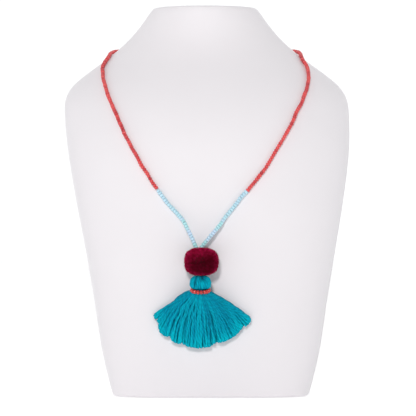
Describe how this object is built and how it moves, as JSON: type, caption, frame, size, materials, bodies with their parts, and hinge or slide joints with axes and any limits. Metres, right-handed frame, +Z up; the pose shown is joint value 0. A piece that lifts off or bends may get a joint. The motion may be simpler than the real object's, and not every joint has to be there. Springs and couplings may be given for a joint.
{
  "type": "tassel necklace on a neck bust",
  "caption": "Necklace of red and pale blue seed bead strings with a yarn pompom and a fanned yarn tassel, hanging round a plain white neck bust.",
  "frame": {"origin": "middle of the bust's flat base, on the surface it stands on", "axes": "+Z up, +X to the right as seen from the front, +Y away from the viewer; the chest and the pendant face -Y"},
  "size_m": [0.2205, 0.1479, 0.3],
  "materials": {
    "bust_shell": "matt white moulded shell",
    "red_glass": "opaque glossy seed beads",
    "blue_glass": "opaque pale blue and pale turquoise seed beads with a satin gloss",
    "coral_glass": "opaque glossy seed beads",
    "clasp_metal": "satin silver plate",
    "wine_yarn": "dense cut acrylic pile",
    "teal_yarn": "soft plied yarn with cut ends"
  },
  "bodies": {
    "root": {"neck_bust": "bust_shell", "red_beads": "red_glass", "blue_beads": "blue_glass", "clasp": "clasp_metal", "pompom": "wine_yarn", "tassel": "teal_yarn", "bead_ring": "coral_glass"}
  },
  "joints": []
}
